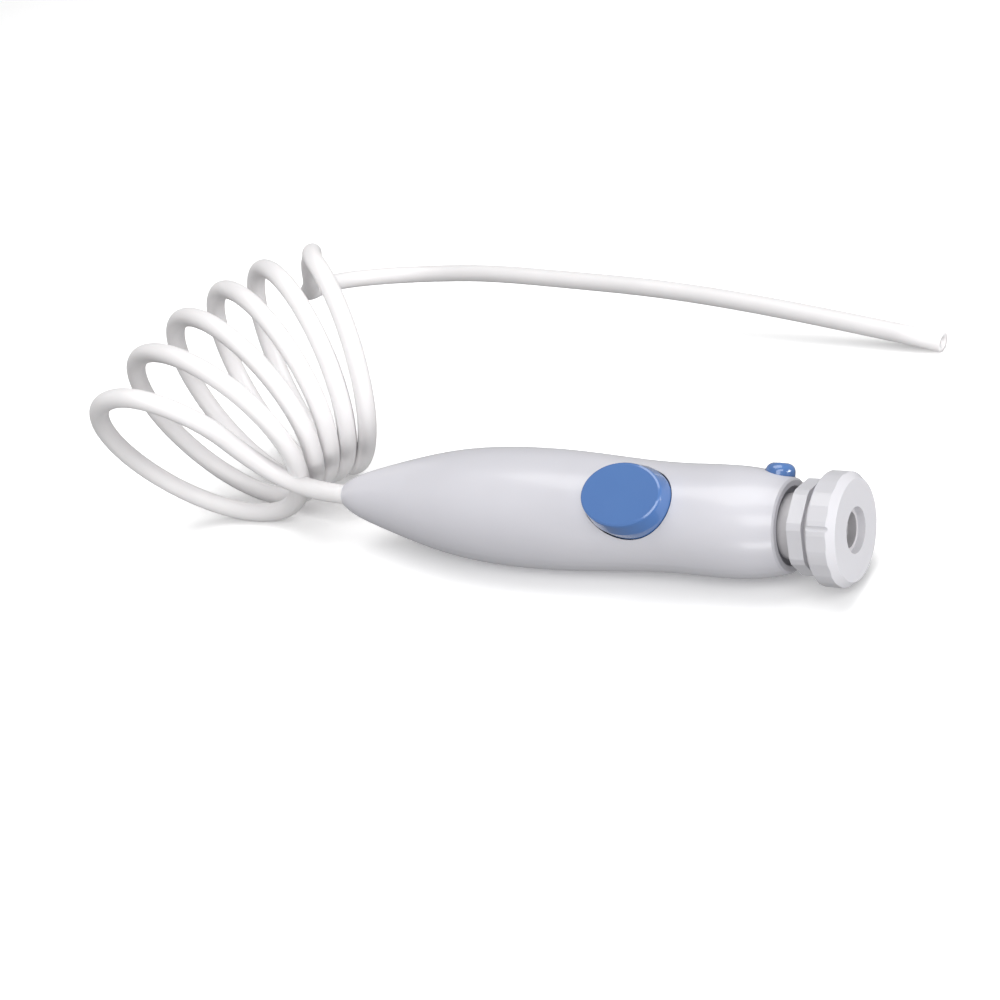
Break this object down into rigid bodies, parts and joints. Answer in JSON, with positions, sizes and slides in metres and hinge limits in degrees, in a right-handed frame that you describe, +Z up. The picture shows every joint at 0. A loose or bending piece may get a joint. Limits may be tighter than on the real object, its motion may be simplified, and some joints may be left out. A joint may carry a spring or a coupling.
{
  "type": "water flosser handle",
  "caption": "Water flosser handle with an oval pause button, a round tip release, a turning collar round the tip socket and a coiled supply hose with a bare end.",
  "frame": {"origin": "on the floor below the middle of the handle, which lies on its belly", "axes": "+X along the handle towards its collar, +Z up, the pause button leans towards -Y"},
  "size_m": [0.2077, 0.1325, 0.0626],
  "materials": {
    "casing": "white moulded plastic, glossy",
    "button": "blue moulded plastic, glossy",
    "collar": "white moulded plastic, satin gloss",
    "hose": "milky flexible plastic tube",
    "valve": "natural moulded plastic",
    "bearing": "slippery bearing plastic",
    "seal": "black rubber",
    "steel": "stainless spring steel"
  },
  "bodies": {
    "handle": {"front_shell": "casing", "back_shell": "casing", "inner_hose": "hose", "hose_barb": "valve", "hose_clamp": "steel", "valve_body": "valve", "valve_plug": "valve", "pause_spring": "steel", "outlet_seat": "valve", "tip_seal": "seal", "eject_spring": "steel", "front_bush": "bearing", "thrust_washer": "bearing", "hose_lead": "hose", "hose_coil": "hose", "hose_tail": "hose"},
    "pause": {"pause_button": "button", "valve_stem": "valve", "stem_o_rings": "seal"},
    "release": {"eject_button": "button", "tip_latch": "valve"},
    "rotator": {"tip_socket": "collar", "retaining_clip": "steel", "neck_ring": "collar", "rotator_collar": "collar"}
  },
  "joints": [
    {"name": "pause_press", "type": "slide", "parent": "handle", "child": "pause", "axis": [0, 0.5779, -0.8161], "range_m": [0, 0.002], "stiffness_N_per_m": 1200, "springref_m": -0.001, "deforming": ["pause_spring"]},
    {"name": "eject_press", "type": "slide", "parent": "handle", "child": "release", "axis": [0, -0.6293, -0.7771], "range_m": [0, 0.0015], "stiffness_N_per_m": 900, "springref_m": -0.001, "deforming": ["eject_spring"]},
    {"name": "rotator_turn", "type": "hinge", "parent": "handle", "child": "rotator", "pos_m": [0, 0, 0.0143], "axis": [1, 0, 0], "continuous": true}
  ]
}
